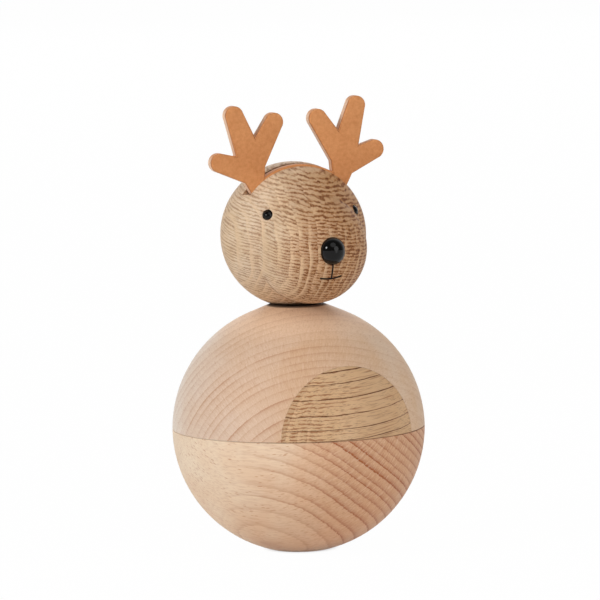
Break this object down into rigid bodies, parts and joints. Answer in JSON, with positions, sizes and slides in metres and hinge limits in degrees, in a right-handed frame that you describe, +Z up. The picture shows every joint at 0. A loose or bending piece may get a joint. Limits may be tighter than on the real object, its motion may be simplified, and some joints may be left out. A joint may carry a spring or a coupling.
{
  "type": "wooden reindeer figurine",
  "caption": "Round wooden reindeer figurine with a ball body in halves, an oak belly inlay, an oak head that turns and flat leather antlers.",
  "frame": {"origin": "middle of the flat that the figurine stands on", "axes": "+Z up along the neck dowel; the belly inlay faces -Y; +X is the figure's own left side"},
  "size_m": [0.085, 0.085, 0.1522],
  "materials": {
    "beech_lower": "oiled beech, fine grain with short dark ray flecks",
    "beech_upper": "oiled beech, ring arcs of near end grain",
    "oak_inlay": "oiled oak with long dark pores",
    "beech_dowel": "plain beech dowel",
    "oak_head": "oiled oak with dense short dark pores and rays",
    "tan_leather": "thick vegetable-tanned leather, burnished edges",
    "gloss_black": "black, high gloss"
  },
  "bodies": {
    "body": {"lower_body": "beech_lower", "upper_body": "beech_upper", "belly_inlay": "oak_inlay", "body_dowel": "beech_dowel", "neck_dowel": "beech_dowel"},
    "head": {"head": "oak_head", "antlers": "tan_leather", "nose": "gloss_black", "left_eye": "gloss_black", "right_eye": "gloss_black"}
  },
  "joints": [
    {"name": "head_swivel", "type": "hinge", "parent": "body", "child": "head", "pos_m": [0, 0, 0.083], "axis": [0, 0, 1], "continuous": true}
  ]
}
